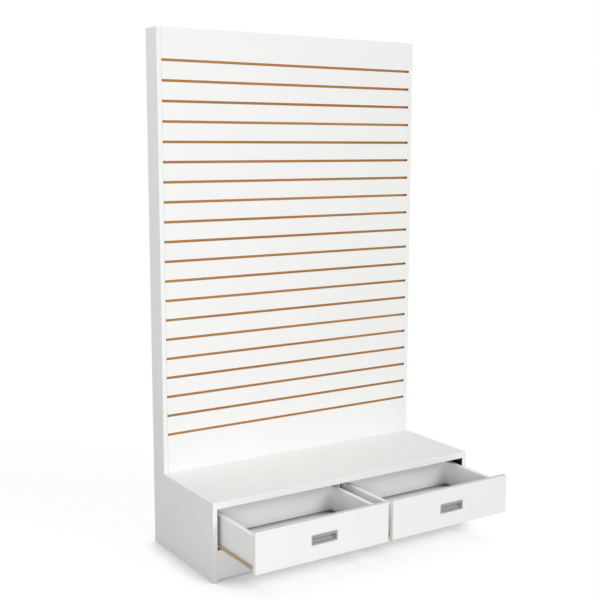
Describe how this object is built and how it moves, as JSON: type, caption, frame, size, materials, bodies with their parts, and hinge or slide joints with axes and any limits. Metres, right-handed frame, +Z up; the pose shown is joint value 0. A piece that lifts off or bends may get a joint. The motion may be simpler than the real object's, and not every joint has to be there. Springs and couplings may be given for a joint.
{
  "type": "slatwall display tower",
  "caption": "White slatwall display tower with horizontal T-slots for hooks and brackets, on a low base cabinet with a display deck and side-by-side drawers on roller runners.",
  "frame": {"origin": "on the floor, under the centre divider, at the middle of the footprint with the drawers closed", "axes": "+Z up, -Y towards the front, +X to the right seen from the front"},
  "size_m": [1.2192, 0.7731, 2.032],
  "materials": {
    "white_melamine": "satin white melamine on board",
    "slatwall_board": "white face, bare MDF in the routed slots",
    "hardboard": "white painted hardboard",
    "almond_epoxy": "almond epoxy coat on pressed steel",
    "nylon": "moulded nylon",
    "satin_metal": "satin grey metal"
  },
  "bodies": {
    "frame": {"left_upright": "white_melamine", "right_upright": "white_melamine", "tower_top_cap": "white_melamine", "tower_bottom_plate": "white_melamine", "tower_lower_stretcher": "white_melamine", "tower_upper_stretcher": "white_melamine", "base_left_side": "white_melamine", "base_right_side": "white_melamine", "base_deck": "white_melamine", "base_centre_divider": "white_melamine", "base_kick_rail": "white_melamine", "slatwall_panel": "slatwall_board", "tower_back_panel": "hardboard", "base_back_panel": "hardboard", "left_drawer_outer_cabinet_runner": "almond_epoxy", "left_drawer_inner_cabinet_runner": "almond_epoxy", "right_drawer_outer_cabinet_runner": "almond_epoxy", "right_drawer_inner_cabinet_runner": "almond_epoxy"},
    "left_drawer": {"left_drawer_front": "white_melamine", "left_drawer_inner_front": "white_melamine", "left_drawer_left_side": "white_melamine", "left_drawer_right_side": "white_melamine", "left_drawer_back": "white_melamine", "left_drawer_bottom": "hardboard", "left_drawer_pull": "satin_metal", "left_drawer_outer_drawer_runner": "almond_epoxy", "left_drawer_inner_drawer_runner": "almond_epoxy"},
    "left_drawer_outer_front_roller": {"left_drawer_outer_front_roller": "nylon"},
    "left_drawer_outer_rear_roller": {"left_drawer_outer_rear_roller": "nylon"},
    "left_drawer_inner_front_roller": {"left_drawer_inner_front_roller": "nylon"},
    "left_drawer_inner_rear_roller": {"left_drawer_inner_rear_roller": "nylon"},
    "right_drawer": {"right_drawer_front": "white_melamine", "right_drawer_inner_front": "white_melamine", "right_drawer_left_side": "white_melamine", "right_drawer_right_side": "white_melamine", "right_drawer_back": "white_melamine", "right_drawer_bottom": "hardboard", "right_drawer_pull": "satin_metal", "right_drawer_outer_drawer_runner": "almond_epoxy", "right_drawer_inner_drawer_runner": "almond_epoxy"},
    "right_drawer_outer_front_roller": {"right_drawer_outer_front_roller": "nylon"},
    "right_drawer_outer_rear_roller": {"right_drawer_outer_rear_roller": "nylon"},
    "right_drawer_inner_front_roller": {"right_drawer_inner_front_roller": "nylon"},
    "right_drawer_inner_rear_roller": {"right_drawer_inner_rear_roller": "nylon"}
  },
  "joints": [
    {"name": "left_drawer_slide", "type": "slide", "parent": "frame", "child": "left_drawer", "axis": [0, -1, 0], "range_m": [-0.27, 0.015]},
    {"name": "left_drawer_outer_front_roller_spin", "type": "hinge", "parent": "frame", "child": "left_drawer_outer_front_roller", "pos_m": [-0.5842, -0.21727, 0.1323], "axis": [1, 0, 0], "range_deg": [-1940, 130]},
    {"name": "left_drawer_outer_rear_roller_spin", "type": "hinge", "parent": "left_drawer", "child": "left_drawer_outer_rear_roller", "pos_m": [-0.5842, -0.17763, 0.1323], "axis": [1, 0, 0], "range_deg": [-1940, 130]},
    {"name": "left_drawer_inner_front_roller_spin", "type": "hinge", "parent": "frame", "child": "left_drawer_inner_front_roller", "pos_m": [-0.01588, -0.21727, 0.1323], "axis": [1, 0, 0], "range_deg": [-1940, 130]},
    {"name": "left_drawer_inner_rear_roller_spin", "type": "hinge", "parent": "left_drawer", "child": "left_drawer_inner_rear_roller", "pos_m": [-0.01588, -0.17763, 0.1323], "axis": [1, 0, 0], "range_deg": [-1940, 130]},
    {"name": "right_drawer_slide", "type": "slide", "parent": "frame", "child": "right_drawer", "axis": [0, -1, 0], "range_m": [-0.268, 0.017]},
    {"name": "right_drawer_outer_front_roller_spin", "type": "hinge", "parent": "frame", "child": "right_drawer_outer_front_roller", "pos_m": [0.5842, -0.21727, 0.1323], "axis": [1, 0, 0], "range_deg": [-1940, 130]},
    {"name": "right_drawer_outer_rear_roller_spin", "type": "hinge", "parent": "right_drawer", "child": "right_drawer_outer_rear_roller", "pos_m": [0.5842, -0.17563, 0.1323], "axis": [1, 0, 0], "range_deg": [-1940, 130]},
    {"name": "right_drawer_inner_front_roller_spin", "type": "hinge", "parent": "frame", "child": "right_drawer_inner_front_roller", "pos_m": [0.01588, -0.21727, 0.1323], "axis": [1, 0, 0], "range_deg": [-1940, 130]},
    {"name": "right_drawer_inner_rear_roller_spin", "type": "hinge", "parent": "right_drawer", "child": "right_drawer_inner_rear_roller", "pos_m": [0.01588, -0.17563, 0.1323], "axis": [1, 0, 0], "range_deg": [-1940, 130]}
  ],
  "couplings": [
    {"joint": "left_drawer_outer_front_roller_spin", "follows": "left_drawer_slide", "rad_per_m": 125},
    {"joint": "left_drawer_outer_rear_roller_spin", "follows": "left_drawer_slide", "rad_per_m": 125},
    {"joint": "left_drawer_inner_front_roller_spin", "follows": "left_drawer_slide", "rad_per_m": 125},
    {"joint": "left_drawer_inner_rear_roller_spin", "follows": "left_drawer_slide", "rad_per_m": 125},
    {"joint": "right_drawer_outer_front_roller_spin", "follows": "right_drawer_slide", "rad_per_m": 125},
    {"joint": "right_drawer_outer_rear_roller_spin", "follows": "right_drawer_slide", "rad_per_m": 125},
    {"joint": "right_drawer_inner_front_roller_spin", "follows": "right_drawer_slide", "rad_per_m": 125},
    {"joint": "right_drawer_inner_rear_roller_spin", "follows": "right_drawer_slide", "rad_per_m": 125}
  ]
}
